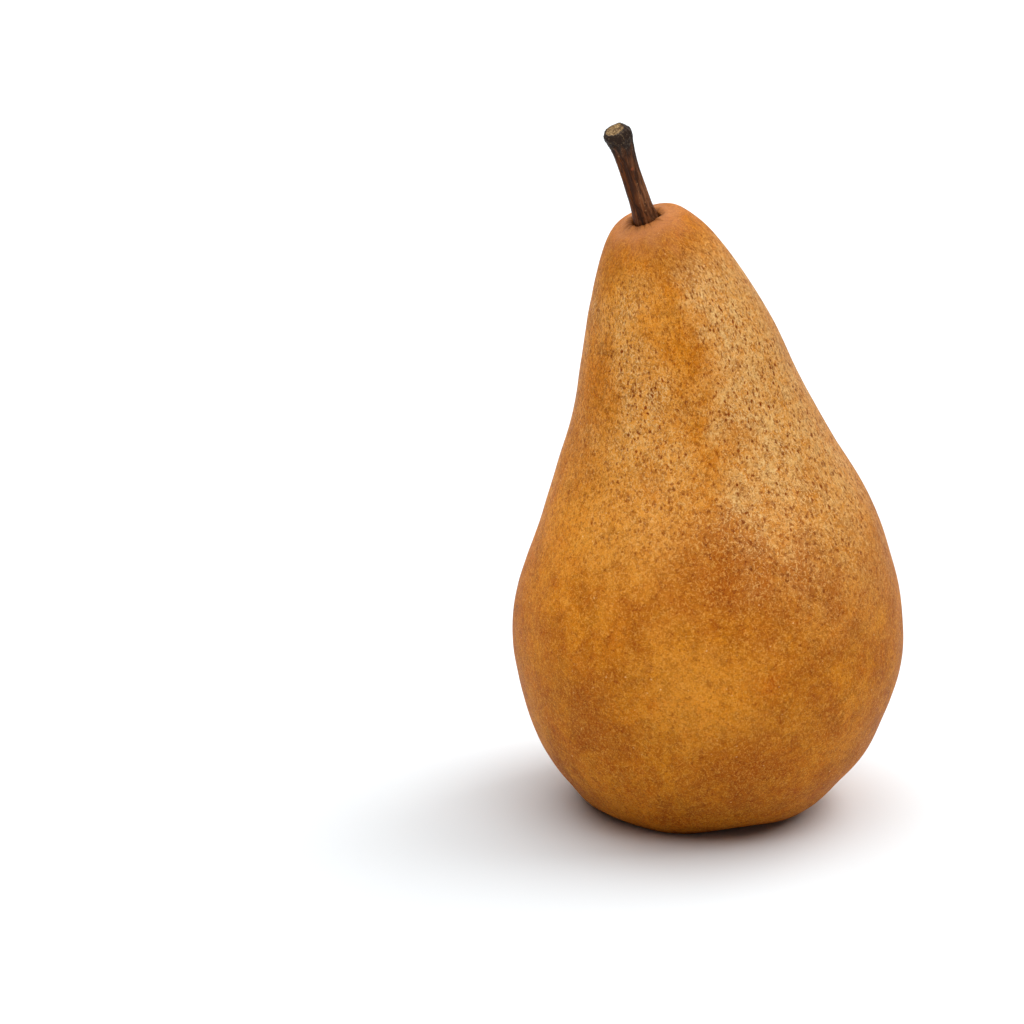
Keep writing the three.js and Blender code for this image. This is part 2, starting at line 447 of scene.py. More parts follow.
# %% Outline of the stem
STEM_ROOT = Vector((-10.65, -3.85, 104))
STEM_TIP = Vector((-17.4, -8, 125.3))
STEM_SIDES = 96
STEM_STEPS = 9

STEM_OUTLINE = [
    (0, 0),
    (1.59, 0),
    (1.6, 0.3),
    (1.8, 1.6),
    (2.1, 3.2),
    (2.26, 4.6),  # where it leaves the skin
    (2.02, 7),
    (1.86, 9.5),
    (1.82, 13.2),
    (1.86, 16.9),
    (2.04, 19.3),
    (2.28, 20.7),  # knob
    (2.4, 21.6),
    (2.3, 22.3),
    (2.05, 22.75),
    (1.75, 22.9),  # rim of the cut
    (1.5, 22.8),
    (1.1, 22.7),
    (0.6, 22.65),
    (0, 22.65),
]
stem_length = (STEM_TIP - STEM_ROOT).length
stem_form = turned(smooth_outline(STEM_OUTLINE, STEM_STEPS), STEM_SIDES)
print("turned stem:", len(stem_form.verts), "points")

# %% [markdown]
# Ribs run up the stalk with a slight twist, and a fine grain runs along it. The knob is lumpy.
# The stalk bows a little towards the back, and the cut slopes, slips to one side and is rough.

# %% Ribs, knob and cut
STEM_FULL_RADIUS = 1.4  # nearer the axis than this, the ribs and the grain are weaker
STEM_RIBS = 5
STEM_RIB_DEPTH = 0.035  # fraction of the radius
STEM_TWIST = 0.05  # radians in a millimetre
STEM_BOW = 0.4
STEM_GRAIN_DEPTH = 0.13
STEM_GRAIN_RIDGES = 2.4  # more of it gives more ridges
STEM_GRAIN_LENGTH = 9
STEM_GRAIN_FRACTAL = (0.7, 2.2, 4)  # increment, lacunarity, octaves
KNOB_START, KNOB_END = 17.5, 20.5
KNOB_LUMP_SIZE = 0.8
KNOB_LUMP_HEIGHT = 0.11
KNOB_LUMP_FRACTAL = (0.8, 2.1, 3)
CUT_SLOPE = Vector((0.06, 0.17, 0))  # rise of the cut, sideways and towards the back
CUT_REACH = 3
CUT_SHIFT = Vector((-0.3, -0.05, 0))
CUT_SHIFT_START, CUT_SHIFT_END = 21.3, 22.8
FACE_START = 22.5  # the rough face of the cut is above this height
FACE_RADIUS = 2
FACE_GRAIN_SIZE = 0.35
FACE_GRAIN_HEIGHT = 0.09
FACE_NOISE_LEVEL = 3


def stem_place(point):
    """Where a point of the turned stem is on the grown one, which is still upright."""
    angle = math.atan2(point.y, point.x)
    around = Vector((math.cos(angle), math.sin(angle), 0))
    height = point.z
    radius = math.hypot(point.x, point.y)
    ribs = STEM_RIB_DEPTH * radius * math.cos(STEM_RIBS * angle + STEM_TWIST * height)
    ridge_place = around * STEM_GRAIN_RIDGES + Vector((0, 0, height / STEM_GRAIN_LENGTH))
    ridges = STEM_GRAIN_DEPTH * noise.fractal(ridge_place, *STEM_GRAIN_FRACTAL)
    lumps = noise.fractal(point / KNOB_LUMP_SIZE, *KNOB_LUMP_FRACTAL)
    knob = rise_between(height, KNOB_START, KNOB_END)
    share = min(1, radius / STEM_FULL_RADIUS)
    grown = radius + (ribs + ridges + KNOB_LUMP_HEIGHT * lumps * knob) * share
    place = around * grown
    sloped = max(0, (height - stem_length + CUT_REACH) / CUT_REACH)
    place += CUT_SHIFT * rise_between(height, CUT_SHIFT_START, CUT_SHIFT_END)
    place.z = height + CUT_SLOPE.dot(place) * sloped
    if height > FACE_START and radius < FACE_RADIUS:
        face_place = Vector((place.x, place.y, FACE_NOISE_LEVEL)) / FACE_GRAIN_SIZE
        place.z += FACE_GRAIN_HEIGHT * noise.noise(face_place)
    place.y += STEM_BOW * math.sin(math.pi * height / stem_length)
    return place


stem_layer = stem_form.verts.layers.float_vector.new("straight")
for vertex in stem_form.verts:
    vertex[stem_layer] = vertex.co
    vertex.co = stem_place(vertex.co)
stem_turn = Vector((0, 0, 1)).rotation_difference(STEM_TIP - STEM_ROOT)
bmesh.ops.rotate(stem_form, cent=(0, 0, 0), matrix=stem_turn.to_matrix(), verts=stem_form.verts)
bmesh.ops.translate(stem_form, vec=STEM_ROOT, verts=stem_form.verts)
stem = finish_piece(stem_form, "pear_stem", "stem")

# %% [markdown]
# ## The calyx
# Underneath, in the basin, sits what is left of the flower: a small hard cup, five dry sepals
# that have curled outward, and a few withered threads inside the cup. The cup is turned like the
# fruit and then pinched unevenly.

# %% Calyx cup
CALYX_CENTRE = BODY_SHIFT
CUP_SIDES = 60
CUP_STEPS = 5
CUP_WAVES = 5
CUP_WAVE_HEIGHT = 0.12
CUP_WAVE_DRIFT = 0.3
CUP_PINCHES = 8
CUP_PINCH_DEPTH = 0.05  # fraction of the radius
CUP_PINCH_DRIFT = 0.5

CUP_OUTLINE = [
    (0, 4.2),
    (2.7, 4.2),
    (3.1, 3.7),
    (2.9, 2.9),
    (2.3, 2.8),
    (1.7, 3.4),
    (0, 3.5),
]
calyx_form = turned(smooth_outline(CUP_OUTLINE, CUP_STEPS), CUP_SIDES)
for vertex in calyx_form.verts:
    angle = math.atan2(vertex.co.y, vertex.co.x)
    vertex.co.z += CUP_WAVE_HEIGHT * pleat(angle, vertex.co.z, CUP_WAVES, CUP_WAVE_DRIFT)
    vertex.co.xy *= 1 + CUP_PINCH_DEPTH * pleat(angle, vertex.co.z, CUP_PINCHES, CUP_PINCH_DRIFT)
print("cup:", len(calyx_form.verts), "points")

# %% [markdown]
# A sepal starts as a flat grid. It narrows to its tip, is rolled round a bend so that it curls
# outward, and crinkles as a dry leaf does. Its edges stand up a little. It gets its thickness
# last.

# %% Sepals
SEPALS = 5
SEPAL_LENGTH = 3.9
SEPAL_WIDTH = 2.5
SEPAL_THICKNESS = 0.4
SEPAL_ROOT_RADIUS = 2.6
SEPAL_ROOT_HEIGHT = 3.75
SEPAL_START = math.radians(-82)
SEPAL_END = math.radians(-8)
SEPAL_TIP_WIDTH = 0.25  # fraction of the width at the root
SEPAL_EDGE_LIFT = 0.25
SEPAL_STEPS_ALONG, SEPAL_STEPS_ACROSS = 16, 10
CRINKLE_SIZE = 0.9
CRINKLE_HEIGHT = 0.22
CRINKLE_APART = 5  # distance in the noise from one sepal to the next, so no two are alike


def add_sepal(form, number):
    """One dry, curled sepal, added to the calyx."""
    grid = bmesh.ops.create_grid(
        form,
        x_segments=SEPAL_STEPS_ALONG,
        y_segments=SEPAL_STEPS_ACROSS,
        size=0.5,  # it reaches from -0.5 to 0.5
    )
    sweep = SEPAL_END - SEPAL_START
    bend = SEPAL_LENGTH / sweep
    for vertex in grid["verts"]:
        share = vertex.co.x + 0.5
        side = vertex.co.y * SEPAL_WIDTH * (1 - (1 - SEPAL_TIP_WIDTH) * share**2)
        heading = SEPAL_START + sweep * share
        outward = bend * (math.sin(heading) - math.sin(SEPAL_START))
        drop = bend * (math.cos(SEPAL_START) - math.cos(heading))
        crinkle = Vector((share * SEPAL_LENGTH, side, number * CRINKLE_APART)) / CRINKLE_SIZE
        lift = CRINKLE_HEIGHT * noise.noise(crinkle) + SEPAL_EDGE_LIFT * (side / SEPAL_WIDTH) ** 2
        vertex.co.x = SEPAL_ROOT_RADIUS + outward - lift * math.sin(heading)
        vertex.co.y = side
        vertex.co.z = SEPAL_ROOT_HEIGHT + drop + lift * math.cos(heading)
    faces = list(dict.fromkeys(face for vertex in grid["verts"] for face in vertex.link_faces))
    thick = bmesh.ops.solidify(form, geom=faces, thickness=SEPAL_THICKNESS)
    new_verts = [item for item in thick["geom"] if isinstance(item, bmesh.types.BMVert)]
    turn = Matrix.Rotation(math.tau * number / SEPALS, 3, "Z")
    whole = list(set(grid["verts"]) | set(new_verts))
    bmesh.ops.rotate(form, cent=(0, 0, 0), matrix=turn, verts=whole)


for number in range(SEPALS):
    add_sepal(calyx_form, number)
print("cup and sepals:", len(calyx_form.verts), "points")

# %% [markdown]
# The withered threads are thin cones. They stand in a ring inside the cup and lean out of it,
# each by an amount of its own.

# %% Threads of the calyx
THREADS = 11
THREAD_RADIUS = 0.11
THREAD_TIP_RADIUS = THREAD_RADIUS * 0.5
THREAD_LENGTH = 1.5
THREAD_SIDES = 8
THREAD_RING_RADIUS = 0.95
THREAD_ROOT_HEIGHT = 3.5
THREAD_LEAN = 0.35
THREAD_LEAN_CHANGE = 0.2
THREAD_APART = 3  # more of it makes neighbours less alike


def add_thread(form, number):
    """One withered thread inside the cup, leaning outward."""
    around = math.tau * number / THREADS
    out = Vector((math.cos(around), math.sin(around), 0))
    lean = THREAD_LEAN + THREAD_LEAN_CHANGE * noise.noise(out * THREAD_APART)
    direction = (out * lean - Vector((0, 0, 1))).normalized()
    base = out * THREAD_RING_RADIUS + Vector((0, 0, THREAD_ROOT_HEIGHT))
    turn = Vector((0, 0, 1)).rotation_difference(direction).to_matrix().to_4x4()
    middle = Matrix.Translation(base + direction * THREAD_LENGTH / 2) @ turn
    bmesh.ops.create_cone(
        form,
        cap_ends=True,
        segments=THREAD_SIDES,
        radius1=THREAD_RADIUS,
        radius2=THREAD_TIP_RADIUS,
        depth=THREAD_LENGTH,
        matrix=middle,
    )


for number in range(THREADS):
    add_thread(calyx_form, number)
bmesh.ops.translate(calyx_form, vec=CALYX_CENTRE, verts=calyx_form.verts)
bmesh.ops.recalc_face_normals(calyx_form, faces=calyx_form.faces)
calyx = finish_piece(calyx_form, "pear_calyx", "calyx")

# %% [markdown]
# ## Keeping light apart
# In a studio, black cards keep the light of a panel off whatever it should not reach. Here a
# light is simply told which objects receive it. The floor has its own two panels, so the fruit
# can be lit for its form, while the shadow under it stays deep, narrow and to the left. This
# comes after the pieces, because the lists name them.

# %% Which panel lights what
lit_pieces = bpy.data.collections.new("lit_pieces")
for piece in (fruit, stem, calyx):
    lit_pieces.objects.link(piece)
lit_floor = bpy.data.collections.new("lit_floor")
lit_floor.objects.link(floor)
for panels, receivers in ((fruit_panels, lit_pieces), (floor_panels, lit_floor)):
    for panel in panels:
        panel.light_linking.receiver_collection = receivers

# %% [markdown]
# ## Building materials
# A material here is a chain of nodes. The helpers below add a node, name it and set or link its
# inputs in one call, so each material reads from top to bottom like a recipe. Sums on numbers
# and on vectors, noise and soft steps are used so often that each has a helper of its own.

# %% Helpers for nodes
NODE_WIDTH, NODE_HEIGHT = 210, 320  # room for each node in the editor
NODES_IN_ROW = 12


def add_node(tree, kind, title, inputs=None, **settings):
    """Adds a node. An input is a value, or the output of another node to link to it."""
    node = tree.nodes.new(kind)
    node.name = title
    node.label = title
    row, column = divmod(len(tree.nodes), NODES_IN_ROW)
    node.location = (NODE_WIDTH * column, -NODE_HEIGHT * row)
    for setting, value in settings.items():
        setattr(node, setting, value)
    for socket, value in (inputs or {}).items():
        if isinstance(value, bpy.types.NodeSocket):
            tree.links.new(value, node.inputs[socket])
        else:
            node.inputs[socket].default_value = value
    return node


def calculate(tree, title, operation, *values):
    """One sum on numbers, such as MULTIPLY or ADD."""
    inputs = dict(enumerate(values))
    return add_node(tree, "ShaderNodeMath", title, inputs, operation=operation).outputs[0]


def calculate_vector(tree, title, operation, *values):
    """One sum on vectors. LENGTH and DISTANCE give a number, the others a vector."""
    inputs = dict(enumerate(values))
    node = add_node(tree, "ShaderNodeVectorMath", title, inputs, operation=operation)
    return node.outputs["Value" if operation in ("LENGTH", "DISTANCE") else "Vector"]


def scale_vector(tree, title, vector, factor):
    """A vector made longer or shorter."""
    inputs = {0: vector, "Scale": factor}
    return add_node(tree, "ShaderNodeVectorMath", title, inputs, operation="SCALE").outputs["Vector"]


def add_noise(tree, title, place, scale, detail, roughness=0.5, bend=0):
    """Cloudy noise, from 0 to 1 and mostly near a half."""
    inputs = {"Vector": place, "Scale": scale, "Detail": detail, "Roughness": roughness}
    inputs["Distortion"] = bend
    return add_node(tree, "ShaderNodeTexNoise", title, inputs).outputs["Fac"]


def step_between(tree, title, value, low, high):
    """0 where the value is below low, 1 above high. Low may be the larger, which turns it round."""
    inputs = {"Value": value, "From Min": low, "From Max": high}
    node = add_node(tree, "ShaderNodeMapRange", title, inputs, interpolation_type="SMOOTHSTEP")
    return node.outputs["Result"]


print("nodes in a row:", NODES_IN_ROW)

# %% [markdown]
# A coat covers one colour with another where its mask is 1, as a painter lays one coat over the
# last. Its strength is how much of it shows there. Every material ends in the same surface
# shader, and a height pattern can press a fine relief into it.

# %% Coats and surfaces
FACTOR, FIRST_COLOUR, SECOND_COLOUR, MIXED_COLOUR = 0, 6, 7, 2  # sockets of the Mix node


def mix_colours(tree, title, share, under, over, blend="MIX"):
    """The colour under, covered by the colour over where share is 1."""
    inputs = {FACTOR: share, FIRST_COLOUR: under, SECOND_COLOUR: over}
    node = add_node(tree, "ShaderNodeMix", title, inputs, data_type="RGBA", blend_type=blend)
    return node.outputs[MIXED_COLOUR]


def add_coat(tree, title, mask, strength, under, over, blend="MIX"):
    """The colour under, covered by the colour over to a strength where the mask is 1."""
    share = calculate(tree, title + " share", "MULTIPLY", mask, strength)
    return mix_colours(tree, title, share, under, over, blend)


def start_material(name, roughness, shine):
    """A new material. Gives it with its node tree and its surface."""
    material = bpy.data.materials.new(name)
    material.use_nodes = True
    surface = material.node_tree.nodes["Principled BSDF"]
    surface.inputs["Roughness"].default_value = roughness
    surface.inputs["Specular IOR Level"].default_value = shine
    return material, material.node_tree, surface


def press_relief(tree, surface, title, height, depth):
    """Presses a height pattern into the surface, to a depth in millimetres."""
    inputs = {"Height": height, "Distance": depth * MM, "Strength": 1.0}
    bump = add_node(tree, "ShaderNodeBump", title, inputs)
    tree.links.new(bump.outputs["Normal"], surface.inputs["Normal"])


def put_on(piece, material):
    """Gives a piece its material."""
    piece.data.materials.append(material)
    print(material.name, "has", len(material.node_tree.nodes), "nodes")


print("the mixed colour is output", MIXED_COLOUR)

# %% [markdown]
# All patterns are measured in millimetres, so one Mapping node turns the object's metres into
# millimetres. A shader works with linear light, but colours are easier to judge as they look on
# a screen, so they are written that way and converted.

# %% Millimetres and colours
SCREEN_FULL = 255


def millimetre_space(tree):
    """The object's own coordinates, in millimetres."""
    coordinates = add_node(tree, "ShaderNodeTexCoord", "object coordinates")
    inputs = {"Vector": coordinates.outputs["Object"], "Scale": (MM, MM, MM)}
    mapping = add_node(tree, "ShaderNodeMapping", "millimetres", inputs, vector_type="TEXTURE")
    return mapping.outputs["Vector"]


def colour(red, green, blue):
    """A colour given as seen on a screen, 0 to 255, as the shader's linear value."""
    linear = []
    for channel in (red, green, blue):
        share = channel / SCREEN_FULL
        linear.append(share / 12.92 if share <= 0.04045 else ((share + 0.055) / 1.055) ** 2.4)
    return (*linear, 1)


print("a middle grey of 128 is", round(colour(128, 128, 128)[0], 3), "in linear light")

# %% [markdown]
# ## Shared effects
# Four effects return on more than one piece, so each is a node group that is built once and
# placed with its own values. A group can be opened and changed in one place, and every piece
# follows.

# %% Helpers for node groups
NUMBER, VECTOR = "NodeSocketFloat", "NodeSocketVector"


def start_group(name, output, **inputs):
    """An empty group that takes a place and some numbers, and gives one number."""
    group = bpy.data.node_groups.new(name, "ShaderNodeTree")
    group.interface.new_socket("Vector", in_out="INPUT", socket_type=VECTOR)
    for title, value in inputs.items():
        socket = group.interface.new_socket(title, in_out="INPUT", socket_type=NUMBER)
        socket.default_value = value
    group.interface.new_socket(output, in_out="OUTPUT", socket_type=NUMBER)
    entry = add_node(group, "NodeGroupInput", "in")
    result = add_node(group, "NodeGroupOutput", "out")
    return group, entry.outputs, result


def use_group(tree, group, title, place, **values):
    """Places a group in a material with its own values, and gives what it makes."""
    inputs = {"Vector": place, **values}
    return add_node(tree, "ShaderNodeGroup", title, inputs, node_tree=group).outputs[0]


print("kinds of sockets:", VECTOR, "and", NUMBER)

# %% [markdown]
# *Mottle* gives soft blotches. Plain noise makes round clouds, so it is bent by itself, and two
# levels, low and high, cut a mask out of it. The further apart they are, the softer its edge.

# %% Mottle
mottle, given, result = start_group("mottle", "Mask", Size=10, Low=0.4, High=0.6, Bend=0.5, Roughness=0.5)
scale = calculate(mottle, "size to scale", "DIVIDE", 1, given["Size"])
blotches = add_noise(mottle, "blotches", given["Vector"], scale, 7, given["Roughness"], given["Bend"])
edge = step_between(mottle, "edge", blotches, given["Low"], given["High"])
mottle.links.new(edge, result.inputs["Mask"])
print("mottle:", len(mottle.nodes), "nodes")

# %% [markdown]
# *Specks* gives scattered dots. Each cell of a Voronoi pattern holds one dot. The cell's own
# random colour draws its lots: how large the dot is, how dark, and whether there is one at all.
# Fine noise pushes the coordinates about, which makes the edge ragged.

# %% Specks
specks, given, result = start_group("specks", "Mask", Spacing=1.5, Size=0.3, Ragged=0.2, Share=0.8)
wobble = add_node(specks, "ShaderNodeTexNoise", "wobble",
                  {"Vector": given["Vector"], "Scale": 2.2, "Detail": 2})
shift = calculate_vector(specks, "centred wobble", "SUBTRACT", wobble.outputs["Color"], (0.5, 0.5, 0.5))
pushed = scale_vector(specks, "pushed", shift, given["Ragged"])
ragged_place = calculate_vector(specks, "ragged place", "ADD", given["Vector"], pushed)
scale = calculate(specks, "spacing to scale", "DIVIDE", 1, given["Spacing"])
cells = add_node(specks, "ShaderNodeTexVoronoi", "cells",
                 {"Vector": ragged_place, "Scale": scale}, feature="F1")
distance = calculate(specks, "distance in mm", "MULTIPLY", cells.outputs["Distance"], given["Spacing"])
lots = add_node(specks, "ShaderNodeSeparateColor", "lots", {"Color": cells.outputs["Color"]}).outputs
own_share = calculate(specks, "own share", "MULTIPLY_ADD", lots["Red"], 0.5, 0.5)
radius = calculate(specks, "own radius", "MULTIPLY", given["Size"], own_share)
inner = calculate(specks, "inner radius", "MULTIPLY", radius, 0.45)
dot = step_between(specks, "dot", distance, radius, inner)
present = calculate(specks, "present", "LESS_THAN", lots["Green"], given["Share"])
depth = calculate(specks, "own depth", "MULTIPLY_ADD", lots["Blue"], 0.5, 0.5)
depth = calculate(specks, "own depth where present", "MULTIPLY", depth, present)
mask = calculate(specks, "mask", "MULTIPLY", dot, depth)
specks.links.new(mask, result.inputs["Mask"])
print("specks:", len(specks.nodes), "nodes")

# %% [markdown]
# *Grain* is the close, curly texture of cork: fine noise, bent back on itself. It is given out
# as a height, so that one pattern can serve both the colour and the relief.
# *Squiggles* are short curved lines. Noise crosses its own middle level along winding lines, so
# the mask is 1 close to that level, and a second noise cuts the lines into pieces.

# %% Grain and squiggles
grain, given, result = start_group("grain", "Height", Size=0.5, Bend=1.2)
scale = calculate(grain, "size to scale", "DIVIDE", 1, given["Size"])
cork = add_noise(grain, "cork", given["Vector"], scale, 3, 0.6, given["Bend"])
grain.links.new(cork, result.inputs["Height"])

squiggles, given, result = start_group("squiggles", "Mask", Size=1.0, Width=0.05, Share=0.5)
scale = calculate(squiggles, "size to scale", "DIVIDE", 1, given["Size"])
waves = add_noise(squiggles, "waves", given["Vector"], scale, 1, bend=0.6)
offset = calculate(squiggles, "off the level", "SUBTRACT", waves, 0.5)
away = calculate(squiggles, "how far off", "ABSOLUTE", offset)
line = step_between(squiggles, "line", away, given["Width"], 0)
elsewhere = calculate_vector(squiggles, "elsewhere", "ADD", given["Vector"], (31.7, 12.3, 47.1))
gap_scale = calculate(squiggles, "gap scale", "MULTIPLY", scale, 1.7)
gaps = add_noise(squiggles, "gaps", elsewhere, gap_scale, 1)
closed = calculate(squiggles, "closed from", "SUBTRACT", 1, given["Share"])
opened = calculate(squiggles, "open from", "ADD", closed, 0.08)
stretch = step_between(squiggles, "stretch of line", gaps, closed, opened)
mask = calculate(squiggles, "mask", "MULTIPLY", line, stretch)
squiggles.links.new(mask, result.inputs["Mask"])
print("groups:", [group.name for group in bpy.data.node_groups])

# %% [markdown]
# ## Russet skin
# Russet is cork. The pear's smooth skin has cracked and healed over with a thin brown layer,
# and from a step away it is a warm golden brown. Close up it has soft blotches, a curly grain,
# short pale threads, fine cracks, corky dots that are thickest on the neck, and tiny pale pores.
# Most of these follow how the fruit grew rather than where it stands in space. Each point kept
# its place on the straight, round body, so the material can ask for a height, a radius and a
# direction as if the neck had never leaned.

# %% Coordinates that grew with the fruit
TAPER = 0.35
TAPER_HEIGHT = 75
TAPER_RISE = (20, 60)  # heights between which the taper comes in
DASH_SHORTENING = 0.75


def straight_parts(tree):
    """The unbent place on a piece, its height, its radius, and its way and angle round the axis."""
    straight = add_node(tree, "ShaderNodeAttribute", "straight", attribute_name="straight")
    straight = straight.outputs["Vector"]
    parts = add_node(tree, "ShaderNodeSeparateXYZ", "straight parts", {"Vector": straight}).outputs
    flat = calculate_vector(tree, "flat", "MULTIPLY", straight, (1, 1, 0))
    radius = calculate_vector(tree, "radius", "LENGTH", flat)
    around = calculate_vector(tree, "around", "NORMALIZE", flat)
    angle = calculate(tree, "angle", "ARCTAN2", parts["Y"], parts["X"])
    return straight, parts["Z"], radius, around, angle


def grown_space(tree, height, radius, around):
    """Coordinates in which a round dot is long, and follows the skin from the belly to the crown."""
    taper = calculate(tree, "taper", "MULTIPLY_ADD", height, TAPER, -TAPER * TAPER_HEIGHT)
    on_neck = step_between(tree, "where it tapers", height, *TAPER_RISE)
    taper = calculate(tree, "taper of the neck", "MULTIPLY", taper, on_neck)
    even_radius = calculate(tree, "evened radius", "ADD", radius, taper)
    ring = scale_vector(tree, "ring", around, even_radius)
    shorter = calculate(tree, "shortened height", "MULTIPLY", height, DASH_SHORTENING)
    upward = add_node(tree, "ShaderNodeCombineXYZ", "upward", {"Z": shorter}).outputs[0]
    return calculate_vector(tree, "grown space", "ADD", ring, upward)


print("the neck tapers", TAPER, "mm in each mm of height")

# %% [markdown]
# A fruit ripens unevenly, in patches where it rubbed against a leaf or a twig. A few patches here paint
# light as well: the lighter ones on the front left are partly painted highlight, and one dusky patch low
# on the front left is painted shade. A side is given by a direction round the axis, and most sides used
# here mark a painted highlight. A patch is given by its middle and its reach, and noise frays its edge so
# that it looks grown, not stamped.

# %% Sides and patches
SHADED_PATCHES = [
    # middle of the patch, reach
    ((3, -30, 52), 12),
    ((16, -28, 50), 9),
    # painted shade: this dusky patch low on the front left darkens the skin where shade falls
    ((-22, -26, 22), 11),
    ((6, -32, 14), 9),
    ((-12, 30, 36), 13),
    ((28, 14, 26), 11),
]
LIGHTER_AND_HIGHLIT_PATCHES = [
    # partly painted highlight: this lighter patch on the front left lies where the left panel's highlight
    # falls
    ((-19, -22, 58), 16),
    ((-5, -34, 32), 13),
    ((22, 22, 58), 14),
    ((-26, 18, 50), 12),
    # partly painted highlight, high on the front left of the neck
    ((-15, -16, 96), 10),
]
CROWN_SMUDGES = [((-8.5, -13.5, 102.5), 8), ((-12, -11, 106.5), 5.5)]
NECK_SMUDGES = [((-20, -12, 86), 12), ((10, 14, 80), 12)]


def facing(tree, title, angle, direction, low, high):
    """1 on the side that faces a direction, seen from above."""
    away = calculate(tree, title + " away", "SUBTRACT", angle, direction)
    cosine = calculate(tree, title + " cosine", "COSINE", away)
    return step_between(tree, title, cosine, low, high)


def patches_at(tree, title, place, patches):
    """1 in the middle of each patch in a list, with an uneven, soft edge."""
    drift = add_noise(tree, title + " drift", place, 0.16, 6, 0.68)
    drift = calculate(tree, title + " edge", "MULTIPLY_ADD", drift, 4, -2)
    whole = None
    for middle, reach in patches:
        away = calculate_vector(tree, title + " distance", "DISTANCE", place, middle)
        share = calculate(tree, title + " share", "MULTIPLY_ADD", away, 1 / reach, drift)
        patch = step_between(tree, title + " patch", share, 1.3, 0.1)
        whole = patch if whole is None else calculate(tree, title + " all", "MAXIMUM", whole, patch)
    return whole


print("patches:", len(SHADED_PATCHES), "dusky,", len(LIGHTER_AND_HIGHLIT_PATCHES), "light")

# %% [markdown]
# On the neck the russet is thin, and the pale skin shows between its dots. It thins in long zones that run
# up and down and wander a little. The zones are a wave round the axis, made uneven by noise that is
# stretched upward. One golden column in front stays covered, and a pale strip runs up beside it. The pale
# skin is partly painted highlight: the strip is the painted highlight of the left panel, and the paler
# right front of the neck, which reaches lower, is the painted highlight of the right panel.

# %% Where the russet is thin, and painted highlights
ZONES = 5
ZONE_DIRECTION = math.radians(-122)  # the middle of one zone
# the side of the neck where the right panel's highlight is painted pale
HIGHLIT_SIDE = math.radians(-42)
# where the left panel's highlight is painted as a pale strip
HIGHLIGHT_STRIP_DIRECTION = math.radians(-110)
GOLDEN_DIRECTION = math.radians(-89)
WANDER = 1.2  # radians, from one side to the other
UPPER_NECK = (62, 84)  # heights between which a mask rises from 0 to 1
ABOVE_BELLY = (43, 81)
BELOW_CROWN = (107, 98)
HIGHLIT_REACH = 12  # on the highlit side the pale neck, a painted sheen, begins this much lower


def zone_value(tree, straight, wavy, golden, highlit):
    """A number, high where the russet is thin and highlights are painted, before it is cut to a mask."""
    stretched = calculate_vector(tree, "stretched upward", "MULTIPLY", straight, (1, 1, 0.4))
    drift = add_noise(tree, "drift", stretched, 0.14, 7, 0.75)
    value = calculate(tree, "drift value", "MULTIPLY_ADD", drift, 5, -2.5)
    turn = calculate(tree, "zone turn", "MULTIPLY_ADD", wavy, ZONES, -ZONES * ZONE_DIRECTION)
    zones = calculate(tree, "zones", "COSINE", turn)
    strip = facing(tree, "pale strip", wavy, HIGHLIGHT_STRIP_DIRECTION, 0.88, 1)
    value = calculate(tree, "with zones", "MULTIPLY_ADD", zones, 0.3, value)
    # painted highlight: the highlit side and the strip raise the value for pale, thin russet
    value = calculate(tree, "with highlit side", "MULTIPLY_ADD", highlit, 1.0, value)
    value = calculate(tree, "with strip", "MULTIPLY_ADD", strip, 0.75, value)
    return calculate(tree, "without column", "MULTIPLY_ADD", golden, -0.75, value)


def russet_masks(tree, straight, height, angle):
    """Masks for the thin russet and painted highlights, the neck, the golden column, the highlit side."""
    wander = add_noise(tree, "wander", straight, 0.1, 5)
    wavy = calculate(tree, "wavy angle", "MULTIPLY_ADD", wander, WANDER, angle)
    wavy = calculate(tree, "wavy angle, centred", "SUBTRACT", wavy, WANDER / 2)
    highlit = facing(tree, "sunny side", wavy, HIGHLIT_SIDE, 0.5, 0.95)
    golden = facing(tree, "golden column", wavy, GOLDEN_DIRECTION, 0.9, 1)
    high = step_between(tree, "upper neck", height, *UPPER_NECK)
    golden = calculate(tree, "golden column on the neck", "MULTIPLY", golden, high)
    value = zone_value(tree, straight, wavy, golden, highlit)
    zone = step_between(tree, "zone edge", value, -1.0, 1.5)
    # painted sheen: on the highlit side the pale neck reaches further down
    highlit_height = calculate(tree, "height on the sunny side", "MULTIPLY_ADD", highlit, HIGHLIT_REACH, height)
    neck = step_between(tree, "above the belly", highlit_height, *ABOVE_BELLY)
    fading = step_between(tree, "below the crown", height, *BELOW_CROWN)
    thin = calculate(tree, "thin on the neck", "MULTIPLY", zone, neck)
    thin = calculate(tree, "thin russet", "MULTIPLY", thin, fading)
    return {"thin": thin, "neck": neck, "golden": golden, "highlit": highlit}


print("zones of thin russet:", ZONES)

# %% [markdown]
# The bottom coat is the broadest. Cinnamon and ochre lie in blotches as wide as a thumb, with golden
# patches, more of them on the neck, and duller places and lighter ones, partly painted highlight, over
# them.

# %% Full russet
AMBER = colour(222, 146, 48)
OCHRE = colour(194, 103, 5)
CINNAMON = colour(152, 72, 2)
GOLD = colour(208, 130, 22)
BLOTCH_SIZE = 20


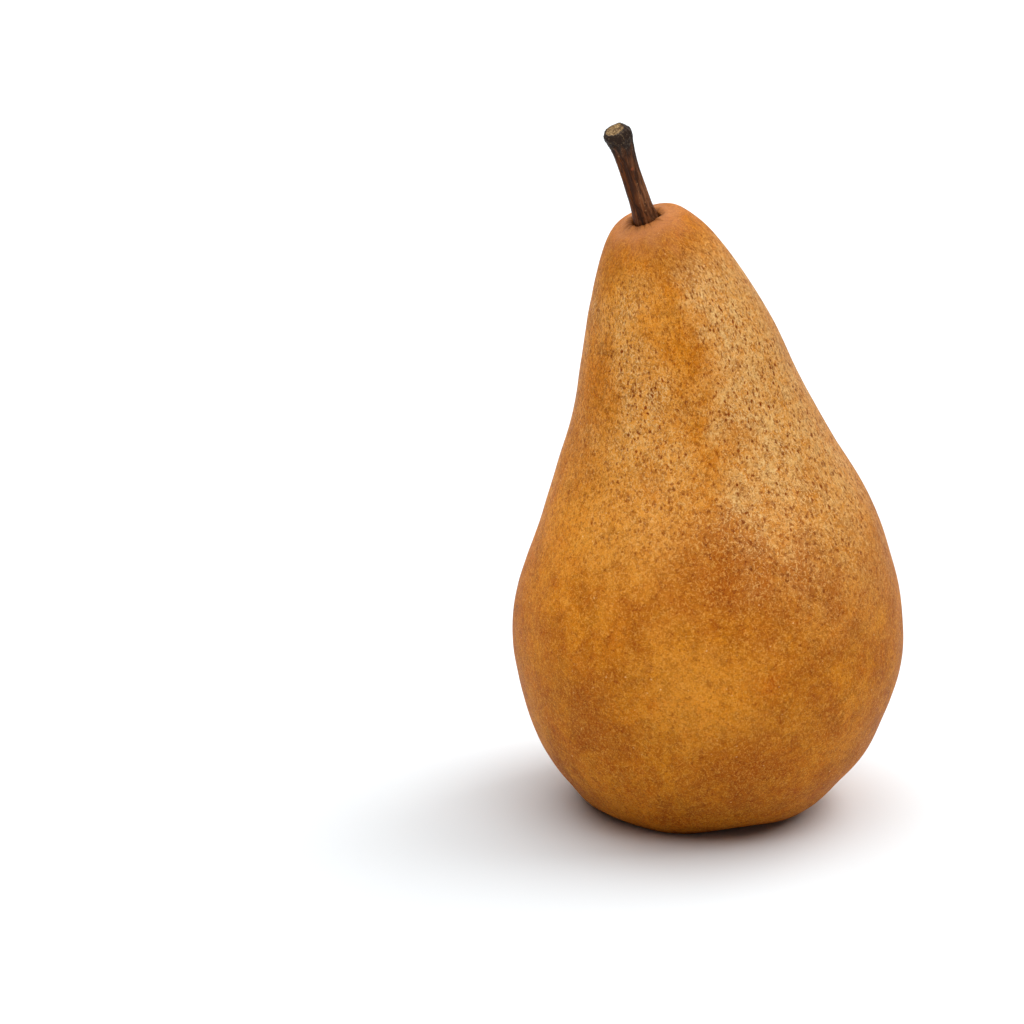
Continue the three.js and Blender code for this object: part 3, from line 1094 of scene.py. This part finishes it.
def russet_ground(tree, place, masks):
    """Full russet: cinnamon, ochre and gold. Gives the colour and the golden patches."""
    big = use_group(tree, mottle, "big blotches", place,
                    Size=BLOTCH_SIZE, Low=0.36, High=0.64, Bend=0.8, Roughness=0.72)
    russet = mix_colours(tree, "cinnamon and ochre", big, CINNAMON, OCHRE)
    golden = use_group(tree, mottle, "golden patches", place,
                       Size=7, Low=0.4, High=0.68, Bend=0.6, Roughness=0.76)
    gold_share = calculate(tree, "gold share", "MULTIPLY", golden, 0.7)
    neck_gold = calculate(tree, "gold on the neck", "MULTIPLY", masks["neck"], 0.3)
    neck_gold = calculate(tree, "gold in the column", "MULTIPLY_ADD", masks["golden"], 0.15, neck_gold)
    gold_share = calculate(tree, "gold in all", "MAXIMUM", gold_share, neck_gold)
    russet = mix_colours(tree, "gold", gold_share, russet, GOLD)
    shade = use_group(tree, mottle, "shaded patches", place, Size=24, Low=0.42, High=0.6, Bend=1.2)
    belly_only = calculate(tree, "less shade on the neck", "MULTIPLY_ADD", masks["neck"], -0.45, 0.62)
    russet = add_coat(tree, "shaded", shade, belly_only, russet, CINNAMON)
    # lighter patches, partly painted highlight on the front left
    light_patches = patches_at(tree, "light", place, LIGHTER_AND_HIGHLIT_PATCHES)
    return add_coat(tree, "lighter", light_patches, 0.65, russet, AMBER), golden


print("largest blotches:", BLOTCH_SIZE, "mm")

# %% [markdown]
# Where the russet is thin, the ground is tan, and warmer on the side away from the painted highlight. Over
# both lie dusky places, one of them painted shade, and small dark smudges that gather on the neck and the
# crown.

# %% Thin russet and smudges
TAN = colour(216, 169, 101)
HONEY = colour(204, 132, 46)
# the colour of dark smudges, also used as painted shade in the dimple and the basin
SMUDGE_AND_HOLLOW_SHADE = colour(124, 66, 6)


def thin_ground(tree, place, masks, russet):
    """The pale ground where the russet is thin and highlights are painted, laid over full russet."""
    pale = use_group(tree, mottle, "pale patches", place,
                     Size=2.6, Low=0.34, High=0.66, Bend=0.8, Roughness=0.75)
    russet = add_coat(tree, "pale on russet", pale, 0.5, russet, GOLD)
    ground = mix_colours(tree, "ground", pale, HONEY, TAN)
    # warmer on the side away from the painted highlight
    warm_share = calculate(tree, "warmer away from the highlight", "MULTIPLY_ADD", masks["highlit"], -0.5, 0.5)
    ground = mix_colours(tree, "warm ground", warm_share, ground, AMBER)
    return mix_colours(tree, "thin russet ground", masks["thin"], russet, ground)


def smudged(tree, place, skin):
    """Dusky patches, one of them painted shade, and small dark smudges on the neck and in front of the
    crown.
    """
    # dusky patches; the one low on the front left is painted shade
    shaded_patches = patches_at(tree, "dusky", place, SHADED_PATCHES)
    skin = add_coat(tree, "dusky", shaded_patches, 0.65, skin, CINNAMON)
    smudge = use_group(tree, mottle, "smudges", place,
                       Size=3.2, Low=0.46, High=0.66, Bend=0.8, Roughness=0.76)
    smudgy = patches_at(tree, "smudgy", place, NECK_SMUDGES)
    smudge_strength = calculate(tree, "smudge strength", "MULTIPLY_ADD", smudgy, 0.35, 0.38)
    smudge_share = calculate(tree, "smudge share", "MULTIPLY", smudge, smudge_strength)
    crown_smudge = patches_at(tree, "crown smudge", place, CROWN_SMUDGES)
    crown_share = calculate(tree, "crown smudge share", "MULTIPLY", crown_smudge, 0.5)
    smudge_share = calculate(tree, "smudge in all", "MAXIMUM", smudge_share, crown_share)
    return mix_colours(tree, "smudged", smudge_share, skin, SMUDGE_AND_HOLLOW_SHADE)


print("smudged places:", len(NECK_SMUDGES), "on the neck,", len(CROWN_SMUDGES), "on the crown")

# %% [markdown]
# Over the blotches lies the texture of the cork itself, at a scale of half a millimetre: a
# brown net, a curly grain of light and dark, short pale threads and thin cracks. The threads
# and cracks were drawn out as the fruit grew, so they use its grown coordinates. The dark flecks
# and cracks are multiplied into the colour below. A dark coat mixed over it would grey it, while
# a multiplied one keeps it as warm as a shadow in real cork.

# %% Grain, threads and cracks
WALNUT = colour(134, 70, 4)
FLECK_LIGHT = colour(224, 158, 62)
FLECK_SHADE = colour(184, 134, 62)
THREAD_PALE = colour(228, 188, 126)
THREAD_RUSSET = colour(228, 164, 74)
GRAIN_SIZE = 0.5
THREAD_SIZE = 0.62
CRACK_SIZE = 0.95


def grained(tree, place, masks, golden, skin):
    """The brown net and the curly grain. Gives the colour, and the grain's height for the relief."""
    net = use_group(tree, grain, "russet net", place, Size=0.7, Bend=0.8)
    net_share = calculate(tree, "net share", "MULTIPLY_ADD", masks["neck"], 0.3, 0.27)
    patches = step_between(tree, "net patches", net, 0.52, 0.36)
    skin = add_coat(tree, "netted", patches, net_share, skin, WALNUT)
    fine = use_group(tree, grain, "fine grain", place, Size=GRAIN_SIZE, Bend=2.0)
    light = step_between(tree, "light flecks", fine, 0.52, 0.66)
    rough_share = calculate(tree, "rougher places", "MULTIPLY_ADD", golden, 0.32, 0.26)
    skin = add_coat(tree, "light flecked", light, rough_share, skin, FLECK_LIGHT)
    dark = step_between(tree, "dark flecks", fine, 0.46, 0.34)
    dark_strength = calculate(tree, "dark strength", "MULTIPLY_ADD", masks["neck"], 0.12, 0.46)
    return add_coat(tree, "dark flecked", dark, dark_strength, skin, FLECK_SHADE, "MULTIPLY"), fine


def threaded(tree, long_place, masks, skin):
    """Short pale threads, and thin cracks between them."""
    threads = use_group(tree, squiggles, "pale threads", long_place,
                        Size=THREAD_SIZE, Width=0.075, Share=0.58)
    thread_strength = calculate(tree, "thread strength", "MULTIPLY_ADD", masks["thin"], 0.29, 0.41)
    thread_colour = mix_colours(tree, "thread colour", masks["thin"], THREAD_RUSSET, THREAD_PALE)
    skin = add_coat(tree, "threaded", threads, thread_strength, skin, thread_colour)
    cracks = use_group(tree, squiggles, "cracks", long_place, Size=CRACK_SIZE, Width=0.05, Share=0.5)
    crack_strength = calculate(tree, "crack strength", "MULTIPLY_ADD", masks["neck"], 0.25, 0.5)
    return add_coat(tree, "cracked", cracks, crack_strength, skin, FLECK_SHADE, "MULTIPLY")


print("grain:", GRAIN_SIZE, "mm, threads:", THREAD_SIZE, "mm, cracks:", CRACK_SIZE, "mm")

# %% [markdown]
# A pear breathes through pores. On the neck each has healed into a raised, dark corky dot,
# drawn out upward as the neck grew, so the dots use the grown coordinates too. On the belly most
# pores are still open and show as tiny pale points.

# %% Dots and pores
DOT_SHADE = colour(166, 112, 56)
PORE_PALE = colour(236, 196, 130)
DOT_SPACING = 0.8
PORE_SPACING = 1.9


def dotted(tree, place, long_place, masks, skin):
    """Dark corky dots and pale pores. Gives the colour, and the dots' mask for relief and gloss."""
    dots = use_group(tree, specks, "corky dots", long_place,
                     Spacing=DOT_SPACING, Size=0.4, Ragged=0.7, Share=0.95)
    dot_strength = calculate(tree, "dot strength", "MULTIPLY_ADD", masks["thin"], 0.7, 0.3)
    dot_strength = calculate(tree, "more on the neck", "MULTIPLY_ADD", masks["neck"], 0.18, dot_strength)
    skin = add_coat(tree, "dotted", dots, dot_strength, skin, DOT_SHADE, "MULTIPLY")
    pores = use_group(tree, specks, "pale pores", place,
                      Spacing=PORE_SPACING, Size=0.24, Ragged=0.4, Share=0.7)
    return add_coat(tree, "pores", pores, 0.6, skin, PORE_PALE), dots


print("dots: every", DOT_SPACING, "mm, pores: every", PORE_SPACING, "mm")

# %% [markdown]
# Round the stem the skin is smooth, pinkish tan and almost free of dots. Painted shade darkens it into the
# dimple, where short creases, darkened with painted shade, run out from the stem, and darkens it again in
# the basin underneath. These coats come last, because they cover everything else.

# %% Crown and basin
COLLAR_PINK = colour(180, 118, 76)
# painted shade in the creases round the stem
CREASE_SHADE = colour(96, 52, 22)
TOP = (100, 104)  # heights between which a mask rises from 0 to 1
UNDERNEATH = (12, 8)
COLLAR_EDGE = (14, 6.5)  # distances from the axis, likewise
DIMPLE_EDGE = (4.6, 2.3)
BASIN_EDGE = (9, 3)
CREASE_EDGE = (5.4, 2.3)


def crease_mask(tree, around, radius, top):
    """Short creases that run out from the stem. Noise that only turns makes lines like spokes."""
    lines = add_noise(tree, "crease lines", around, 5, 3)
    near = step_between(tree, "near the stem", radius, *CREASE_EDGE)
    needed = calculate(tree, "crease level", "MULTIPLY_ADD", near, -0.22, 0.62)
    over = calculate(tree, "over crease level", "SUBTRACT", lines, needed)
    crease = step_between(tree, "crease", over, 0, 0.14)
    crease = calculate(tree, "crease near the stem", "MULTIPLY", crease, near)
    return calculate(tree, "crease on top", "MULTIPLY", crease, top)


def crowned(tree, straight, height, radius, around, skin):
    """The collar, the dimple, the basin and the creases. Gives the colour and the creases' mask."""
    top = step_between(tree, "top", height, *TOP)
    drift = add_noise(tree, "collar edge", straight, 0.3, 4)
    edge = calculate(tree, "uneven radius", "MULTIPLY_ADD", drift, 7, radius)
    collar = step_between(tree, "collar", edge, *COLLAR_EDGE)
    collar = calculate(tree, "collar on top", "MULTIPLY", collar, top)
    skin = add_coat(tree, "collared", collar, 0.68, skin, COLLAR_PINK)
    # painted shade: the dimple and the basin are darkened where they dip
    deep = step_between(tree, "deep in the hollow", radius, *DIMPLE_EDGE)
    dimple = calculate(tree, "dimple", "MULTIPLY", deep, top)
    under = step_between(tree, "underside", height, *UNDERNEATH)
    basin = step_between(tree, "round the calyx", radius, *BASIN_EDGE)
    basin = calculate(tree, "basin", "MULTIPLY", basin, under)
    hollow = calculate(tree, "dimple and basin", "MAXIMUM", dimple, basin)
    skin = add_coat(tree, "painted hollow shade", hollow, 0.5, skin, SMUDGE_AND_HOLLOW_SHADE)
    # painted shade in the creases
    crease = crease_mask(tree, around, radius, top)
    return add_coat(tree, "creased", crease, 0.6, skin, CREASE_SHADE), crease


print("the dimple begins to darken", DIMPLE_EDGE[0], "mm from the axis")

# %% [markdown]
# Now the coats go on in order. Cork is nearly matt, so the shine is low all over. Thin russet
# lets some of the skin's natural wax show, which is a clear coat in the shader, and every dot
# breaks it. The grain, the dots and the creases also press a fine relief into the surface.

# %% Skin material


def make_skin():
    """The russet skin, coat by coat, with its wax and its relief."""
    material, tree, surface = start_material("russet_skin", roughness=0.55, shine=0.06)
    place = millimetre_space(tree)
    straight, height, radius, around, angle = straight_parts(tree)
    long_place = grown_space(tree, height, radius, around)
    masks = russet_masks(tree, straight, height, angle)

    skin, golden = russet_ground(tree, place, masks)
    skin = thin_ground(tree, place, masks, skin)
    skin = smudged(tree, place, skin)
    skin, fine = grained(tree, place, masks, golden, skin)
    skin = threaded(tree, long_place, masks, skin)
    skin, dots = dotted(tree, place, long_place, masks, skin)
    skin, crease = crowned(tree, straight, height, radius, around, skin)
    tree.links.new(skin, surface.inputs["Base Color"])

    smooth = calculate(tree, "smooth skin", "MULTIPLY_ADD", masks["thin"], 0.2, 0.02)
    broken = calculate(tree, "not on dots", "MULTIPLY_ADD", dots, -0.9, 1)
    wax = calculate(tree, "wax between dots", "MULTIPLY", smooth, broken)
    tree.links.new(wax, surface.inputs["Coat Weight"])
    surface.inputs["Coat Roughness"].default_value = 0.5

    pits = calculate(tree, "dot pits", "MULTIPLY", dots, 0.3)
    relief = calculate(tree, "grain and dots", "SUBTRACT", fine, pits)
    relief = calculate(tree, "and creases", "MULTIPLY_ADD", crease, -0.8, relief)
    press_relief(tree, surface, "skin relief", relief, 0.14)
    return material


put_on(fruit, make_skin())

# %% [markdown]
# ## Bark
# The stem is dark brown bark, streaked along its length, with a painted highlight in grey streaks down its
# right side, thin dark lines, pale pores and one reddish scar. Its coordinates are its own, from before it
# was set at an angle, and squeezing them lengthwise draws every pattern out along the stalk.

# %% Bark of the stalk
BARK_BROWN = colour(96, 49, 16)
BARK_DARK = colour(56, 27, 9)
BARK_LINE = colour(30, 17, 9)
BARK_GREY = colour(142, 94, 62)
LENTICEL = colour(168, 122, 82)
SCAR_RED = colour(140, 70, 38)
SCAR_PLACE = (0.6, -1.75, 15.5)
SCAR_RADIUS = 0.45
# the side of the stalk where a highlight is painted in grey streaks
BARK_HIGHLIGHT_SIDE = math.radians(-25)


def stalk_bark(tree, straight, along, angle):
    """Streaked bark. Gives the colour, the streaks and the dark lines."""
    streaks = use_group(tree, mottle, "streaks", along, Size=0.9, Low=0.36, High=0.66)
    bark = mix_colours(tree, "brown bark", streaks, BARK_DARK, BARK_BROWN)
    bloom = use_group(tree, mottle, "grey bloom", along,
                      Size=1.6, Low=0.52, High=0.66, Bend=0.3, Roughness=0.7)
    bark = add_coat(tree, "bloomed", bloom, 0.5, bark, BARK_GREY)
    # painted highlight: grey streaks on the stalk's right side
    bark_highlight = facing(tree, "bleached side", angle, BARK_HIGHLIGHT_SIDE, 0.55, 0.95)
    bark_highlight = calculate(tree, "bleached in streaks", "MULTIPLY", bark_highlight, streaks)
    bark = add_coat(tree, "bark_highlight", bark_highlight, 0.5, bark, BARK_GREY)
    lines = use_group(tree, squiggles, "dark lines", along, Size=0.7, Width=0.05, Share=0.7)
    bark = add_coat(tree, "lined", lines, 0.7, bark, BARK_LINE)
    pores = use_group(tree, specks, "lenticels", straight, Spacing=1.0, Size=0.24, Ragged=0.4, Share=0.6)
    bark = add_coat(tree, "with lenticels", pores, 0.6, bark, LENTICEL)
    from_scar = calculate_vector(tree, "from the scar", "DISTANCE", straight, SCAR_PLACE)
    scar = step_between(tree, "scar", from_scar, SCAR_RADIUS, 0)
    return mix_colours(tree, "scarred", scar, bark, SCAR_RED), streaks, lines


print("the scar is", SCAR_PLACE[2], "mm up the stem")

# %% [markdown]
# The knob is nearly black and speckled grey, because it was the oldest, driest part. The cut
# across it is a layer that healed to pale cork, with brown patches and a few dark cracks. Its
# round edge is a little uneven, so the speckle's own noise is added to the radius.

# %% Knob and cork
KNOB_BLACK = colour(42, 28, 20)
KNOB_GREY = colour(114, 94, 70)
CORK_TAN = colour(166, 136, 92)
CORK_BROWN = colour(92, 68, 40)
KNOB_RISE = (17.4, 20.0)  # heights between which a mask rises from 0 to 1
CUT_RISE = (22.4, 22.6)
CORK_OFFSET = (0, -0.1, 0)
CORK_RADIUS = 1.65
CORK_EDGE = (CORK_RADIUS + 0.25, CORK_RADIUS + 0.1)


def knob_bark(tree, straight, height, streaks, bark):
    """The dark knob over the bark. Gives the colour and the height of the speckle."""
    knob_edge = calculate(tree, "uneven height", "MULTIPLY_ADD", streaks, -1.2, height)
    knob = step_between(tree, "knob", knob_edge, *KNOB_RISE)
    speckle = use_group(tree, grain, "knob speckle", straight, Size=0.4, Bend=0.8)
    speckle_share = step_between(tree, "speckle", speckle, 0.54, 0.76)
    dark = mix_colours(tree, "speckled knob", speckle_share, KNOB_BLACK, KNOB_GREY)
    return mix_colours(tree, "dark knob", knob, bark, dark), speckle


def cork_cut(tree, straight, height, speckle, bark):
    """Pale cork on the cut face."""
    moved = calculate_vector(tree, "cork centre", "ADD", straight, CORK_OFFSET)
    flat = calculate_vector(tree, "flat on the cut", "MULTIPLY", moved, (1, 1, 0))
    radius = calculate_vector(tree, "cork radius", "LENGTH", flat)
    radius = calculate(tree, "uneven cork radius", "MULTIPLY_ADD", speckle, 0.5, radius)
    inside = step_between(tree, "inside the rim", radius, *CORK_EDGE)
    top = step_between(tree, "on the cut", height, *CUT_RISE)
    cork = calculate(tree, "cork", "MULTIPLY", inside, top)
    patches = use_group(tree, mottle, "cork patches", straight,
                        Size=0.9, Low=0.44, High=0.6, Bend=1.5, Roughness=0.7)
    cork_colour = mix_colours(tree, "cork colour", patches, CORK_BROWN, CORK_TAN)
    cracks = use_group(tree, squiggles, "cork cracks", straight, Size=1.0, Width=0.05, Share=0.55)
    cork_colour = add_coat(tree, "cracked cork", cracks, 0.85, cork_colour, BARK_DARK)
    return mix_colours(tree, "cork on the cut", cork, bark, cork_colour)


print("cork face:", 2 * CORK_RADIUS, "mm across")

# %% [markdown]
# The bark has more shine than the fruit, because a stem is worn smooth by handling. In its
# relief the dark lines are cut in, and the speckle of the knob stands out.

# %% Bark material


def make_bark():
    """The bark of the stalk, its knob and the cork of the cut, with their relief."""
    material, tree, surface = start_material("stem_bark", roughness=0.42, shine=0.1)
    straight, height, _, _, angle = straight_parts(tree)
    along = calculate_vector(tree, "stretched along", "MULTIPLY", straight, (1, 1, 0.14))
    bark, streaks, lines = stalk_bark(tree, straight, along, angle)
    bark, speckle = knob_bark(tree, straight, height, streaks, bark)
    bark = cork_cut(tree, straight, height, speckle, bark)
    tree.links.new(bark, surface.inputs["Base Color"])

    rough = use_group(tree, grain, "bark grain", along, Size=0.4, Bend=0.5)
    relief = calculate(tree, "bark and lines", "MULTIPLY_ADD", lines, -0.6, rough)
    relief = calculate(tree, "and speckle", "MULTIPLY_ADD", speckle, 0.8, relief)
    press_relief(tree, surface, "bark relief", relief, 0.14)
    return material


put_on(stem, make_bark())

# %% [markdown]
# ## Dried leaf
# The sepals are as dry as paper: dark brown, matt, paler in patches, with fine cracks. The same effects
# serve here with other values.

# %% Dried leaf material
LEAF_DARK = colour(58, 40, 26)
LEAF_PALE = colour(120, 92, 62)
LEAF_CRACK = colour(30, 20, 13)


def make_dried_leaf():
    """The dry brown of the whole calyx."""
    material, tree, surface = start_material("dried_leaf", roughness=0.85, shine=0.25)
    place = millimetre_space(tree)
    patches = use_group(tree, mottle, "patches", place, Size=1.2, Low=0.4, High=0.7)
    leaf = mix_colours(tree, "leaf", patches, LEAF_DARK, LEAF_PALE)
    cracks = use_group(tree, squiggles, "leaf cracks", place, Size=0.8, Width=0.06, Share=0.6)
    leaf = add_coat(tree, "cracked leaf", cracks, 0.7, leaf, LEAF_CRACK)
    tree.links.new(leaf, surface.inputs["Base Color"])

    rough = use_group(tree, grain, "leaf grain", place, Size=0.35, Bend=0.8)
    relief = calculate(tree, "grain and cracks", "MULTIPLY_ADD", cracks, -0.6, rough)
    press_relief(tree, surface, "leaf relief", relief, 0.12)
    return material


put_on(calyx, make_dried_leaf())
